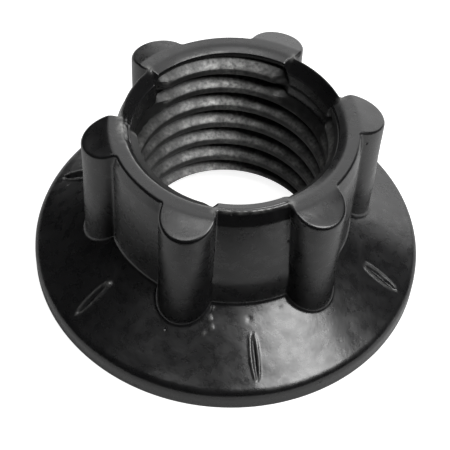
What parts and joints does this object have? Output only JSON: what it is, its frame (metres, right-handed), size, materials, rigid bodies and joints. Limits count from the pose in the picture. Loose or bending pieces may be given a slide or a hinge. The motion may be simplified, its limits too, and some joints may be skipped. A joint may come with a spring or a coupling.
{
  "type": "flange lock nut",
  "caption": "One-piece flange lock nut: a ribbed collar with a crimped top edge on a conical flange, with an internal thread and a black coating.",
  "frame": {"origin": "centre of the flange's bearing face, on the thread's axis", "axes": "+Z along the thread's axis, from the bearing face to the crimped crown; +X to the right and +Y away from the viewer in the reference view"},
  "size_m": [0.0308, 0.0308, 0.0146],
  "materials": {
    "black_coating": "satin black coating on forged steel"
  },
  "bodies": {
    "root": {"nut_body": "black_coating"}
  },
  "joints": []
}
